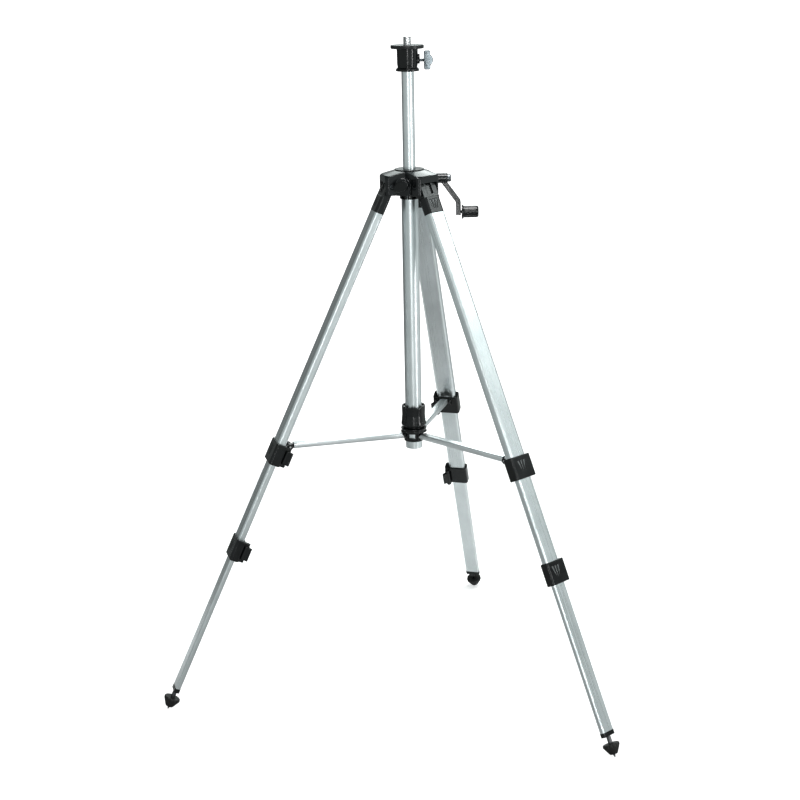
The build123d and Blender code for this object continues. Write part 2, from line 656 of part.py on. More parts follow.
def lock_collar(plane, span, block, tube, tube_end, next_tube, ears):
    """Clamp collar at the lower end of a tube, with lips for its lever and ears for a brace."""
    low_x, high_x, low_y, high_y = block
    top, bottom = span
    pivot_x, pivot_y = lever_pivot(block)
    with BuildPart() as collar:
        with BuildSketch(plane.offset(top)):
            with Locations(((low_x + high_x) / 2, (low_y + high_y) / 2)):
                RectangleRounded(high_x - low_x, high_y - low_y, COLLAR_CORNER)
        extrude(amount=bottom - top)
        ends = collar.edges().group_by(Axis(plane.origin, plane.z_dir))
        chamfer(ends[0] + ends[-1], 1.2)
        for start, end in ((top + 2, top + LIP), (bottom - LIP, bottom - 2)):
            with BuildSketch(plane.offset(start)):
                with Locations((pivot_x, pivot_y)):
                    Circle(LEVER_BOSS_R)
                with Locations((pivot_x, (pivot_y + low_y) / 2 + 1)):
                    Rectangle(2 * LEVER_BOSS_R, low_y - pivot_y + 2)
            extrude(amount=end - start)
        with BuildSketch(plane.offset(top)):
            with Locations((pivot_x, pivot_y)):
                Circle(TRUNNION_R + RUNNING)
        extrude(amount=bottom - top, mode=Mode.SUBTRACT)
        if ears:
            for start in (EAR_GAP, -EAR_GAP - EAR_THICK):
                with BuildSketch(across_plane(plane, start)):
                    with Locations((LEG_PIVOT_S, LEG_PIVOT_IN)):
                        Circle(EAR_R)
                    with BuildLine():
                        Polyline(
                            (LEG_PIVOT_S - EAR_R, LEG_PIVOT_IN),
                            (top + 2, -low_y - 1),
                            (top + 21, -low_y - 1),
                            (LEG_PIVOT_S + 5, LEG_PIVOT_IN + 3),
                            close=True,
                        )
                    make_face()
                extrude(amount=EAR_THICK)
            with BuildSketch(across_plane(plane, 0)):
                with Locations((LEG_PIVOT_S, LEG_PIVOT_IN)):
                    Circle(BRACE_PIN_R)
            extrude(amount=EAR_GAP + EAR_THICK, both=True, mode=Mode.SUBTRACT)
        with BuildSketch(plane.offset(top - 1)):
            section(tube)
        extrude(amount=tube_end - top + 1, mode=Mode.SUBTRACT)
        with BuildSketch(plane.offset(tube_end - 1)):
            section(next_tube, 0.4)
        extrude(amount=bottom - tube_end + 2, mode=Mode.SUBTRACT)
        with BuildSketch(outer_plane(plane, high_y)):
            marks(top + 9, COLLAR_MARK)
        extrude(amount=-MARK_DEPTH, mode=Mode.SUBTRACT)
    return collar


def lock_lever(plane, span, block):
    """Flip lever of a collar, with a trunnion at each end."""
    top, bottom = span
    pivot_x, pivot_y = lever_pivot(block)
    tip_x = pivot_x + LEVER_REACH * cos(radians(45))
    tip_y = pivot_y - LEVER_REACH * sin(radians(45))
    root = LEVER_BOSS_R * sin(radians(45)) - CLEAR
    with BuildPart() as lever:
        with BuildSketch(plane.offset(top + LIP + CLEAR)):
            with Locations((pivot_x, pivot_y)):
                Circle(LEVER_BOSS_R)
            with BuildLine():
                Polyline(
                    (pivot_x + root, pivot_y + root),
                    (tip_x + PADDLE_HALF, tip_y + PADDLE_HALF),
                    (tip_x - PADDLE_HALF, tip_y - PADDLE_HALF),
                    (pivot_x - root, pivot_y - root),
                    close=True,
                )
            make_face()
            with Locations((tip_x, tip_y)):
                Circle(PADDLE_HALF * sqrt(2))
        extrude(amount=bottom - top - 2 * (LIP + CLEAR))
        with BuildSketch(plane.offset(top + 3)):
            with Locations((pivot_x, pivot_y)):
                Circle(TRUNNION_R)
        extrude(amount=bottom - top - 6)
    return lever


def across_plane(plane, start):
    """Plane square to a leg's hinge pin: x down the leg, y inward, z across the leg."""
    return Plane(
        origin=plane.origin + plane.x_dir * start, x_dir=plane.z_dir, z_dir=plane.x_dir
    )


def tube(plane, size, start, end):
    """One hollow leg tube."""
    with BuildPart() as leg_tube:
        with BuildSketch(plane.offset(start)):
            section(size)
            RectangleRounded(
                size[0] - 2 * TUBE_WALL,
                size[1] - 2 * TUBE_WALL,
                size[2] - TUBE_WALL,
                mode=Mode.SUBTRACT,
            )
        extrude(amount=end - start)
    return leg_tube


for number, azimuth in enumerate(LEG_AZIMUTHS, start=1):
    leg = leg_plane(azimuth)
    name = f"leg{number}"

    with BuildPart() as top_cap:
        with BuildSketch(leg.offset(CAP_TOP)):
            section(UPPER_TUBE, CAP_PROUD)
        extrude(amount=CAP_BOTTOM - CAP_TOP)
        with BuildSketch(leg.offset(CAP_BOTTOM)):
            section(UPPER_TUBE, -TUBE_WALL)
        extrude(amount=CAP_PLUG)
        with BuildSketch(across_plane(leg, 0)):
            Circle(TONGUE_R)
            with Locations(((CAP_TOP + 2) / 2, 0)):
                Rectangle(CAP_TOP + 2, 2 * TONGUE_R - 1)
        extrude(amount=TONGUE_HALF, both=True)
        with BuildSketch(leg.offset(-6)):
            with Locations((0, TONGUE_R)):
                Rectangle(*TONGUE_DISH)
        extrude(amount=CAP_TOP, mode=Mode.SUBTRACT)
        with BuildSketch(across_plane(leg, 0)):
            Circle(HINGE_PIN_R + RUNNING)
        extrude(amount=TONGUE_HALF, both=True, mode=Mode.SUBTRACT)
        with BuildSketch(outer_plane(leg, UPPER_TUBE[1] / 2 + CAP_PROUD)):
            marks(CAP_TOP + 5, CAP_MARK)
        extrude(amount=-MARK_DEPTH, mode=Mode.SUBTRACT)
    save(top_cap, f"{name}_top_cap")

    upper_tube = tube(leg, UPPER_TUBE, CAP_BOTTOM, UPPER_TUBE_END)
    save(upper_tube, f"{name}_upper_tube")
    middle_tube = tube(leg, MIDDLE_TUBE, MIDDLE_TOP, MIDDLE_TUBE_END)
    save(middle_tube, f"{name}_middle_tube")
    lower_tube = tube(leg, LOWER_TUBE, LOWER_TOP, PLUG_TOP)
    save(lower_tube, f"{name}_lower_tube")

    upper_collar = lock_collar(
        leg, UPPER_COLLAR, UPPER_BLOCK, UPPER_TUBE, UPPER_TUBE_END, MIDDLE_TUBE, ears=True
    )
    save(upper_collar, f"{name}_upper_collar")
    lower_collar = lock_collar(
        leg, LOWER_COLLAR, LOWER_BLOCK, MIDDLE_TUBE, MIDDLE_TUBE_END, LOWER_TUBE, ears=False
    )
    save(lower_collar, f"{name}_lower_collar")
    save(lock_lever(leg, UPPER_COLLAR, UPPER_BLOCK), f"{name}_upper_lever")
    save(lock_lever(leg, LOWER_COLLAR, LOWER_BLOCK), f"{name}_lower_lever")

    with BuildPart() as foot_plug:
        with BuildSketch(leg.offset(PLUG_TOP)):
            section(LOWER_TUBE, 0.6)
        extrude(amount=PLUG_BOTTOM - PLUG_TOP)
        with BuildSketch(leg.offset(PLUG_TOP)):
            section(LOWER_TUBE, -TUBE_WALL)
        extrude(amount=-25)
        with BuildSketch(leg.offset(PLUG_BOTTOM)):
            Circle(SPIKE_R)
        extrude(amount=-SPIKE_BURIED, mode=Mode.SUBTRACT)
    save(foot_plug, f"{name}_foot_plug")

    spike_side = across_plane(leg, 0)
    with BuildPart() as foot_spike:
        with BuildSketch(spike_side):
            with BuildLine():
                Polyline(
                    (PLUG_BOTTOM - SPIKE_BURIED, 0),
                    (PLUG_BOTTOM - SPIKE_BURIED, SPIKE_R),
                    (SPIKE_TAPER, SPIKE_R),
                    (LEG_LENGTH - 0.5, 0.8),
                    (LEG_LENGTH, 0),
                    close=True,
                )
            make_face()
        revolve(axis=Axis(leg.origin, leg.z_dir))
    save(foot_spike, f"{name}_foot_spike")

    with BuildPart() as rubber_foot:
        with BuildSketch(spike_side):
            with BuildLine():
                Polyline(
                    (FOOT_TOP, SPIKE_R + RUNNING),
                    (FOOT_TOP, FOOT_R - 1.5),
                    (FOOT_TOP + 1.5, FOOT_R),
                    (FOOT_TOP + 5, FOOT_R),
                    (FOOT_BOTTOM - 1, FOOT_TIP_R),
                    (FOOT_BOTTOM, FOOT_TIP_R - 1),
                    (FOOT_BOTTOM, SPIKE_R + RUNNING),
                    close=True,
                )
            make_face()
        revolve(axis=Axis(leg.origin, leg.z_dir))
        with BuildSketch(leg.offset(FOOT_TOP - 1)):
            with PolarLocations(FOOT_R + 0.6, FOOT_RIBS):
                Circle(FOOT_GROOVE_R)
        extrude(amount=FOOT_BOTTOM - FOOT_TOP + 2, mode=Mode.SUBTRACT)
    save(rubber_foot, f"{name}_rubber_foot")

    hub_side = side_plane(azimuth, direction(azimuth) * HUB_PIVOT_R + Vector(0, 0, hub_pin_z))
    with BuildPart() as brace_channel:
        with BuildSketch(hub_side):
            Circle(-CHANNEL_LOW)
            with Locations((CHANNEL_END / 2, (CHANNEL_LOW + CHANNEL_HIGH) / 2)):
                Rectangle(CHANNEL_END, CHANNEL_HIGH - CHANNEL_LOW)
        extrude(amount=CHANNEL_WIDTH / 2, both=True)
        with BuildSketch(hub_side):
            with Locations((CHANNEL_END / 2, CHANNEL_LOW)):
                Rectangle(
                    CHANNEL_END + 20, 2 * (CHANNEL_HIGH - CHANNEL_WALL - CHANNEL_LOW)
                )
        extrude(amount=CHANNEL_WIDTH / 2 - CHANNEL_WALL, both=True, mode=Mode.SUBTRACT)
        with BuildSketch(hub_side):
            Circle(BRACE_PIN_R + RUNNING)
        extrude(amount=CHANNEL_WIDTH, both=True, mode=Mode.SUBTRACT)
    save(brace_channel, f"brace{number}_channel")

    leg_side = side_plane(azimuth, direction(azimuth) * leg_pin_r + Vector(0, 0, hub_pin_z))
    bar_length = brace_length - BAR_START
    with BuildPart() as brace_end:
        with BuildSketch(leg_side):
            with Locations((-bar_length / 2, (CHANNEL_LOW + BAR_TOP) / 2)):
                Rectangle(bar_length, BAR_TOP - CHANNEL_LOW)
            with Locations((-END_BLOCK / 2, 0)):
                Rectangle(END_BLOCK, -2 * CHANNEL_LOW)
        extrude(amount=BAR_HALF, both=True)
        with BuildSketch(leg_side):
            Circle(KNUCKLE_R)
        extrude(amount=KNUCKLE_HALF, both=True)
        with BuildSketch(leg_side):
            Circle(BRACE_PIN_R + RUNNING)
        extrude(amount=KNUCKLE_HALF, both=True, mode=Mode.SUBTRACT)
    save(brace_end, f"brace{number}_end")

    with BuildPart() as brace_pin:
        with BuildSketch(leg_side):
            Circle(BRACE_PIN_R)
        extrude(amount=EAR_GAP + EAR_THICK, both=True)
    save(brace_pin, f"brace{number}_pin")
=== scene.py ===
"""Studio view of an elevating crank tripod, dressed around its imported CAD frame.

Lengths are in metres. Every leg has its own axes: x across, y outward, z down the leg, with the
origin on its hinge pin.
"""
import json
import math

import bmesh
import bpy
from mathutils import Matrix, Vector

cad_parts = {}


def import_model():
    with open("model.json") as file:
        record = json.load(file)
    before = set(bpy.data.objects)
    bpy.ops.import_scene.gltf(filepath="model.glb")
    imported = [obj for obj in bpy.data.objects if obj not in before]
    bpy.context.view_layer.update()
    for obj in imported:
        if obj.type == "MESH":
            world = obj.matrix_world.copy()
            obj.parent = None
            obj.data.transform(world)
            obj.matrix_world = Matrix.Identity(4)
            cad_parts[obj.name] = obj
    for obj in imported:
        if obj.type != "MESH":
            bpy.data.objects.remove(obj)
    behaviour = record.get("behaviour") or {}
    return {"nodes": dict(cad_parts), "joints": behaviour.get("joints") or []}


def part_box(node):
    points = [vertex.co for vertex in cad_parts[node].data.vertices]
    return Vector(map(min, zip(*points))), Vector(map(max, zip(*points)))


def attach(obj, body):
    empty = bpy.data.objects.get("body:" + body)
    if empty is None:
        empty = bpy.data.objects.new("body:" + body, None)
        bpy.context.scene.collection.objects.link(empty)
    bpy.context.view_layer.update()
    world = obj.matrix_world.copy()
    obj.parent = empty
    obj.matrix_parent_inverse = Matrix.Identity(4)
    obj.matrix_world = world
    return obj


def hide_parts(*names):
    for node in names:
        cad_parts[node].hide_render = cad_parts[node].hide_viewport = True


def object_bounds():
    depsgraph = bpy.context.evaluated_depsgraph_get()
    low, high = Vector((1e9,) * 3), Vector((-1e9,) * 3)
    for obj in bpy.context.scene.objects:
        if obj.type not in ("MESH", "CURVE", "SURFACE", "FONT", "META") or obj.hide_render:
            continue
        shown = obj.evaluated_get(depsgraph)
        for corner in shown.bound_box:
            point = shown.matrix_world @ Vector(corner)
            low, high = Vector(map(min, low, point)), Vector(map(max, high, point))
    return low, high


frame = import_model()
cad_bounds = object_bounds()
NODES = frame["nodes"]
JOINTS = {joint["name"]: joint for joint in frame["joints"]}

MM = 0.001
LEGS = (1, 2, 3)

# Camera, on the view's azimuth from -Y towards +X
CAMERA_AZIMUTH = math.radians(15.38)
CAMERA_DISTANCE = 3.378
CAMERA_HEIGHT = 1.565
CAMERA_PITCH = math.radians(15.84)
CAMERA_ROLL = math.radians(-1.01)
CAMERA_LENS = 75.7
CAMERA_SHIFT = (-0.0169, 0.0117)
SENSOR_WIDTH = 36.0
VIEW_END = 200.0

# Studio: azimuths are to the right of the camera's place, in degrees
OBJECT_MIDDLE = Vector((0, 0, 0.7))
FLOOR_R = 1.6
FLOOR_SIDES = 96
FLOOR_TONES = ((0.40, 0.40, 0.40), (0.95, 0.95, 0.95))  # front and back
FLOOR_GLOWS = (0.72, 0.36)  # front and back
FLOOR_FADE = 0.25  # half the depth of the change from front to back
FLOOR_ROUGHNESS = 0.9
FLOOR_SPECULAR = 0.1
WHITE = 1.3  # the surroundings as the camera sees them
ROOM = 0.09  # the surroundings in reflections
ROOM_TINT = (0.93, 1.0, 0.99)
PANELS = (  # azimuth, height, inner and outer angle, strength
    (30, 14, 14, 50, 0.66),
    (-50, 0, 20, 75, 0.40),
    (100, -14, 12, 28, 0.55),
    (82, 4, 18, 40, 0.10),
    (95, 38, 10, 28, 0.80),
    (95, 31, 2, 7, 8.0),
    (150, -6, 12, 40, 0.36),
    (-143, 0, 10, 30, 0.12),
    (180, 14, 8, 24, 0.34),
    (176, 30, 3, 18, 4.2),
)
STRIP_DISTANCE = 3.6
STRIPS = (  # name, azimuth, height, size and power
    ("right_strip", 57, 2, (0.22, 2.4), 26),
    ("front_strip", 2, 4, (0.09, 2.2), 12),
    ("top", 20, 78, (1.2, 1.2), 75),
)


# ------------------------------------------------------------------ places
def joint_place(name):
    """Position and axis of a joint."""
    joint = JOINTS[name]
    return Vector(joint.get("pos_m", (0, 0, 0))), Vector(joint["axis"])


def axes(origin, x, y, z):
    """Matrix that takes local points to the frame."""
    place = Matrix((x, y, z)).transposed().to_4x4()
    place.translation = origin
    return place


def leg_place(leg):
    """A leg's own axes."""
    origin, across = joint_place(f"leg{leg}_fold")
    down = joint_place(f"leg{leg}_middle_slide")[1]
    return axes(origin, across, down.cross(across), down)


def brace_place(leg):
    """A brace's axes at its hub pivot: x towards the leg, y across, z up."""
    origin, across = joint_place(f"brace{leg}_hub_pivot")
    up = Vector((0, 0, 1))
    return axes(origin, across.cross(up), across, up)


# ------------------------------------------------------------------ materials
NOISE_LOW, NOISE_HIGH = 0.3, 0.7  # the part of a noise's range that it mostly keeps to
BUMP_STRENGTH = 0.6
DIE_LINES = dict(scale=1.0, detail=3.0, stretch=(900, 900, 3))
ANODISED_CLOUDS = dict(scale=22.0, detail=5.0)
ANODISED_ROUGH_SWING = 0.04
DIE_LINE_DEPTH = 0.006 * MM
MOULDED_CLOUDS = dict(scale=35.0, detail=6.0)
MOULDED_GRAIN = dict(scale=1800.0, detail=2.0)
MOULDED_ROUGH_SWING = (0.05, 0.07)  # below and above
MOULDED_SPECULAR = 0.5
METAL_SMEARS = dict(scale=90.0, detail=6.0)
METAL_GRAIN = dict(scale=700.0, detail=3.0)
METAL_GRAIN_DEPTH = 0.01 * MM
METAL_ROUGH_SWING = (0.7, 1.4)  # as parts of the roughness


def shader(name):
    """New node material with its Principled shader."""
    material = bpy.data.materials.new(name)
    material.use_nodes = True
    return material, material.node_tree, material.node_tree.nodes["Principled BSDF"]


def noise(tree, scale, detail, stretch=None, turn=None):
    """Noise texture in the object's own space, turned and stretched."""
    place = tree.nodes.new("ShaderNodeTexCoord").outputs["Object"]
    for field, value in (("Rotation", turn), ("Scale", stretch)):
        if value is not None:
            mapping = tree.nodes.new("ShaderNodeMapping")
            mapping.inputs[field].default_value = value
            tree.links.new(place, mapping.inputs["Vector"])
            place = mapping.outputs["Vector"]
    texture = tree.nodes.new("ShaderNodeTexNoise")
    texture.inputs["Scale"].default_value = scale
    texture.inputs["Detail"].default_value = detail
    tree.links.new(place, texture.inputs["Vector"])
    return texture.outputs["Fac"]


def spread(tree, value, low, high):
    """A noise's value taken to the range low to high."""
    node = tree.nodes.new("ShaderNodeMapRange")
    node.inputs["From Min"].default_value = NOISE_LOW
    node.inputs["From Max"].default_value = NOISE_HIGH
    node.inputs["To Min"].default_value = low
    node.inputs["To Max"].default_value = high
    tree.links.new(value, node.inputs["Value"])
    return node.outputs["Result"]


def socket(sockets, identifier):
    """Socket with an identifier, where several share a name."""
    return next(s for s in sockets if s.identifier == identifier)


def tint(tree, value, dark, light):
    """Colour between dark and light by a value."""
    node = tree.nodes.new("ShaderNodeMix")
    node.data_type = "RGBA"
    socket(node.inputs, "A_Color").default_value = (*dark, 1)
    socket(node.inputs, "B_Color").default_value = (*light, 1)
    tree.links.new(value, socket(node.inputs, "Factor_Float"))
    return socket(node.outputs, "Result_Color")


def relief(tree, bsdf, value, height):
    """Bump of a real height in metres."""
    bump = tree.nodes.new("ShaderNodeBump")
    bump.inputs["Strength"].default_value = BUMP_STRENGTH
    bump.inputs["Distance"].default_value = height
    tree.links.new(value, bump.inputs["Height"])
    tree.links.new(bump.outputs["Normal"], bsdf.inputs["Normal"])


def anodised(name, place, dark, light, rough):
    """Satin anodised extrusion, with its die lines along the local z axis."""
    material, tree, bsdf = shader(name)
    turn = place.to_3x3().transposed().to_euler()
    lines = noise(tree, turn=turn, **DIE_LINES)
    clouds = noise(tree, **ANODISED_CLOUDS)
    bsdf.inputs["Metallic"].default_value = 1.0
    tree.links.new(tint(tree, spread(tree, clouds, 0, 1), dark, light), bsdf.inputs["Base Color"])
    satin = spread(tree, lines, rough - ANODISED_ROUGH_SWING, rough + ANODISED_ROUGH_SWING)
    tree.links.new(satin, bsdf.inputs["Roughness"])
    relief(tree, bsdf, lines, DIE_LINE_DEPTH)
    return material


MARK_ATTRIBUTE = "mark"  # 1 on the faces of a moulded mark
# A lighter grey on the flagged faces: a painted highlight standing in for light caught by the sunk
# marks
MARK_PAINTED_HIGHLIGHT = (0.13, 0.14, 0.14)


def moulded(name, dark, light, rough, grain=0.03 * MM):
    """Moulded black plastic with a fine grain, a little handling wear, and a painted highlight in
    lighter grey on the faces of its sunk marks.
    """
    material, tree, bsdf = shader(name)
    clouds = noise(tree, **MOULDED_CLOUDS)
    fine = noise(tree, **MOULDED_GRAIN)
    # The mark attribute picks the sunk faces that take the painted highlight colour
    mark = tree.nodes.new("ShaderNodeAttribute")
    mark.attribute_name = MARK_ATTRIBUTE
    finish = tint(tree, mark.outputs["Fac"], dark, MARK_PAINTED_HIGHLIGHT)
    plastic = tint(tree, spread(tree, clouds, 0, 1), dark, light)
    tree.links.new(plastic, socket(finish.node.inputs, "A_Color"))
    tree.links.new(finish, bsdf.inputs["Base Color"])
    smoother, rougher = MOULDED_ROUGH_SWING
    wear = spread(tree, clouds, rough - smoother, rough + rougher)
    tree.links.new(wear, bsdf.inputs["Roughness"])
    bsdf.inputs["Specular IOR Level"].default_value = MOULDED_SPECULAR
    relief(tree, bsdf, fine, grain)
    return material


def metal(name, dark, light, rough):
    """Turned or plated metal with faint smears."""
    material, tree, bsdf = shader(name)
    smears = noise(tree, **METAL_SMEARS)
    bsdf.inputs["Metallic"].default_value = 1.0
    tree.links.new(tint(tree, spread(tree, smears, 0, 1), dark, light), bsdf.inputs["Base Color"])
    smoother, rougher = METAL_ROUGH_SWING
    shine = spread(tree, smears, rough * smoother, rough * rougher)
    tree.links.new(shine, bsdf.inputs["Roughness"])
    relief(tree, bsdf, noise(tree, **METAL_GRAIN), METAL_GRAIN_DEPTH)
    return material


# Finishes: dark and light colour, roughness, and the depth of the grain where it isn't the usual
ALUMINIUM = ((0.66, 0.70, 0.71), (0.74, 0.78, 0.79))
BRACE_ALUMINIUM = ((0.72, 0.75, 0.76), (0.80, 0.83, 0.84))
ALONG_BRACE = Matrix.Rotation(math.pi / 2, 4, "Y")
COLUMN_METAL = anodised("column_aluminium", Matrix.Identity(4), *ALUMINIUM, 0.34)
LEG_METAL = {n: anodised(f"leg{n}_aluminium", leg_place(n), *ALUMINIUM, 0.30) for n in LEGS}
BRACE_METAL = {
    n: anodised(f"brace{n}_aluminium", brace_place(n) @ ALONG_BRACE, *BRACE_ALUMINIUM, 0.36)
    for n in LEGS
}
CROWN_PLASTIC = moulded("crown_plastic", (0.006, 0.007, 0.008), (0.011, 0.013, 0.014), 0.20)
BLACK_PLASTIC = moulded("black_plastic", (0.004, 0.005, 0.005), (0.008, 0.009, 0.010), 0.19)
CRANK_PAINT = moulded("crank_paint", (0.008, 0.010, 0.011), (0.014, 0.017, 0.018), 0.20, 0.02 * MM)
PLATE_COAT = moulded("plate_coating", (0.007, 0.008, 0.009), (0.013, 0.014, 0.015), 0.34, 0.04 * MM)
RUBBER = moulded("foot_rubber", (0.010, 0.010, 0.010), (0.020, 0.020, 0.019), 0.62, 0.08 * MM)
BUSH = moulded("bush_plastic", (0.62, 0.62, 0.58), (0.72, 0.72, 0.68), 0.45)
CHROME = metal("chrome", (0.045, 0.055, 0.06), (0.08, 0.09, 0.095), 0.12)
DARK_STEEL = metal("dark_steel", (0.10, 0.11, 0.12), (0.20, 0.21, 0.22), 0.25)
STEEL = metal("zinc_steel", (0.66, 0.67, 0.68), (0.76, 0.77, 0.78), 0.30)
SPIKE_STEEL = metal("spike_steel", (0.10, 0.10, 0.105), (0.17, 0.17, 0.175), 0.38)


# ------------------------------------------------------------------ meshes
def dress(node, material):
    """Give a CAD node its finish."""
    data = NODES[node].data
    data.materials.clear()
    data.materials.append(material)


def add_piece(name, mesh, material, body, replaced=()):
    """New visible piece on a body, standing for the nodes it replaces."""
    piece = bpy.data.objects.new(name, mesh)
    bpy.context.scene.collection.objects.link(piece)
    mesh.materials.clear()
    mesh.materials.append(material)
    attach(piece, body)
    if replaced:
        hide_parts(*replaced)
    return piece


MARK_SUNK = (0.45 * MM, 1.6 * MM)  # least and most depth under the outer face
MARK_REACH = 12.5 * MM  # to each side of the leg's middle
MARK_FACING = 0.85  # least outward part of a marked face's normal
WELD = 0.01 * MM
SMOOTHING = 0.5


def softened_mesh(node, voxel, passes, keep):
    """Mesh of a CAD node with its sharp edges worn round; keep is the part of its faces kept."""
    data = NODES[node].data.copy()
    work = bmesh.new()
    work.from_mesh(data)
    bmesh.ops.remove_doubles(work, verts=work.verts, dist=WELD)
    work.to_mesh(data)
    work.free()
    piece = bpy.data.objects.new(f"{node}_work", data)
    bpy.context.scene.collection.objects.link(piece)
    remesh = piece.modifiers.new("voxels", "REMESH")
    remesh.mode = "VOXEL"
    remesh.voxel_size = voxel
    smooth = piece.modifiers.new("round", "SMOOTH")
    smooth.factor = SMOOTHING
    smooth.iterations = passes
    fewer = piece.modifiers.new("fewer", "DECIMATE")
    fewer.ratio = keep
    bpy.context.view_layer.update()
    graph = bpy.context.evaluated_depsgraph_get()
    mesh = bpy.data.meshes.new_from_object(piece.evaluated_get(graph))
    bpy.data.objects.remove(piece)
    mesh.shade_smooth()
    return mesh


def soften(node, material, body, voxel=0.45 * MM, passes=4, keep=0.3):
    """Replace a CAD node by a copy of itself with soft edges."""
    mesh = softened_mesh(node, voxel, passes, keep)
    add_piece(f"{node}_moulding", mesh, material, body, (node,))


def paint_mark_highlights(mesh, home, face):
    """Flag the recessed faces just under a piece's outer face, given in leg axes, for a painted
    highlight.
    """
    attribute = mesh.attributes.new(MARK_ATTRIBUTE, "FLOAT", "FACE")
    turn = home.to_3x3()
    for polygon, value in zip(mesh.polygons, attribute.data):
        place = home @ polygon.center
        sunk = MARK_SUNK[0] < face - place.y < MARK_SUNK[1]
        if sunk and abs(place.x) < MARK_REACH and (turn @ polygon.normal).y > MARK_FACING:
            value.value = 1.0


def soften_legs(pattern, material, body, slot, face, **settings):
    """Soften leg 1's node and turn copies of it to the other legs."""
    first = softened_mesh(pattern.format(1), **settings)
    home = leg_place(1).inverted()
    # The sunk marks under the outer face get a painted highlight
    if face:
        paint_mark_highlights(first, home, face)
    for leg in LEGS:
        mesh = first.copy()
        mesh.transform(leg_place(leg) @ home)
        node = pattern.format(leg)
        add_piece(f"{node}_moulding", mesh, material, body.format(leg), (node,))


def mesh_of(name, points, faces, place, smooth=True):
    """Mesh from local points and faces, with its normals outward."""
    mesh = bpy.data.meshes.new(name)
    mesh.from_pydata([place @ Vector(p) for p in points], [], faces)
    work = bmesh.new()
    work.from_mesh(mesh)
    bmesh.ops.recalc_face_normals(work, faces=work.faces)
    work.to_mesh(mesh)
    work.free()
    if smooth:
        mesh.shade_smooth()
    return mesh


def ring_faces(count, steps):
    """Faces that join rings of count points, each to the next one."""
    faces = []
    for step in range(steps):
        a, b = step * count, (step + 1) * count
        faces += [(a + i, a + (i + 1) % count, b + (i + 1) % count, b + i) for i in range(count)]
    return faces


# ------------------------------------------------------------------ head
STUD_R = 15.875 * MM / 2
STUD_COLLAR_R = 9 * MM
STUD_SUNK = 3 * MM  # how far the collar reaches into the platform
STUD_PITCH = 25.4 * MM / 11
STUD_DEPTH = 0.8 * MM
STUD_CHAMFER = 1.4 * MM
STUD_STEPS = 64
THREAD_ROWS = 16  # to a pitch
THREAD_FLANK, THREAD_CREST = 1.3, 0.15  # slope of the flanks, and width of the flat crest


def threaded_stud():
    """Stud with a real 5/8-11 thread, a plain end chamfer and its collar."""
    low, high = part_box("instrument_stud")
    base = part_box("mounting_plate")[1][2]
    radius = min((high[0] - low[0]) / 2, STUD_R)
    rows = int((high[2] - base) / STUD_PITCH * THREAD_ROWS)
    turns = [math.tau * step / STUD_STEPS for step in range(STUD_STEPS)]
    rings = [
        [(STUD_COLLAR_R * math.cos(t), STUD_COLLAR_R * math.sin(t), z) for t in turns]
        for z in (base - STUD_SUNK, base)
    ]
    for row in range(rows + 1):
        z = base + (high[2] - base) * row / rows
        ring = []
        for step in range(STUD_STEPS):
            turn = step / STUD_STEPS
            wave = abs((z / STUD_PITCH - turn) % 1 * 2 - 1)
            cut = STUD_DEPTH * max(0.0, min(1.0, wave * THREAD_FLANK - THREAD_CREST))
            r = radius - max(cut, z - (high[2] - STUD_CHAMFER))
            ring.append((r * math.cos(math.tau * turn), r * math.sin(math.tau * turn), z))
        rings.append(ring)
    last = (len(rings) - 1) * STUD_STEPS
    faces = ring_faces(STUD_STEPS, len(rings) - 1)
    faces.append(tuple(reversed(range(STUD_STEPS))))
    faces.append(tuple(range(last, last + STUD_STEPS)))
    points = [p for ring in rings for p in ring]
    mesh = mesh_of("stud_thread", points, faces, Matrix.Identity(4))
    add_piece("stud_thread", mesh, STEEL, "head", ("instrument_stud",))


threaded_stud()
soften("head_body", BLACK_PLASTIC, "head")
soften("mounting_plate", PLATE_COAT, "head")
soften("wing_screw", CHROME, "wing_screw", voxel=0.35 * MM, passes=12)

# ------------------------------------------------------------------ column and crown
for node in ("inner_column", "outer_tube"):
    dress(node, COLUMN_METAL)
dress("column_guides", BUSH)
dress("leg_hinge_pins", DARK_STEEL)
dress("hub_pins", STEEL)
dress("crank_shaft", DARK_STEEL)
soften("crown_body", CROWN_PLASTIC, "root", voxel=0.7 * MM, passes=14, keep=0.35)
soften("crown_cover", BLACK_PLASTIC, "root")
soften("crown_ring", BLACK_PLASTIC, "root")
soften("column_lock_knob", BLACK_PLASTIC, "lock_knob", passes=6)
soften("crank_arm", CRANK_PAINT, "crank")
soften("crank_grip", BLACK_PLASTIC, "crank_grip")

# ------------------------------------------------------------------ spreader
soften("spreader_hub", BLACK_PLASTIC, "hub")
soften("hub_knob", BLACK_PLASTIC, "hub_knob")

CHANNEL_WALL = 1.4 * MM
CHANNEL_BEND = 2.2 * MM
BEND_STEPS = 5
CHANNEL_EDGE = 0.25 * MM
CHANNEL_START = 0.5 * MM
END_GAP = 9 * MM  # from the channel's end to the leg pivot


def arc(centre, radius, start, end, steps):
    """Points on an arc, its angles in degrees."""
    turns = (math.radians(start + (end - start) * i / steps) for i in range(steps + 1))
    return [(centre[0] + radius * math.cos(t), centre[1] + radius * math.sin(t)) for t in turns]


def channel_outline(half, low, high):
    """Section of a folded channel that is open below, as (across, up) points."""
    bend, wall = CHANNEL_BEND, CHANNEL_WALL
    outer = [(half, low)]
    outer += arc((half - bend, high - bend), bend, 0, 90, BEND_STEPS)
    outer += arc((bend - half, high - bend), bend, 90, 180, BEND_STEPS)
    outer += [(-half, low)]
    inner = [(wall - half, low)]
    inner += arc((bend - half, high - bend), bend - wall, 180, 90, BEND_STEPS)
    inner += arc((half - bend, high - bend), bend - wall, 90, 0, BEND_STEPS)
    inner += [(half - wall, low)]
    return outer + inner


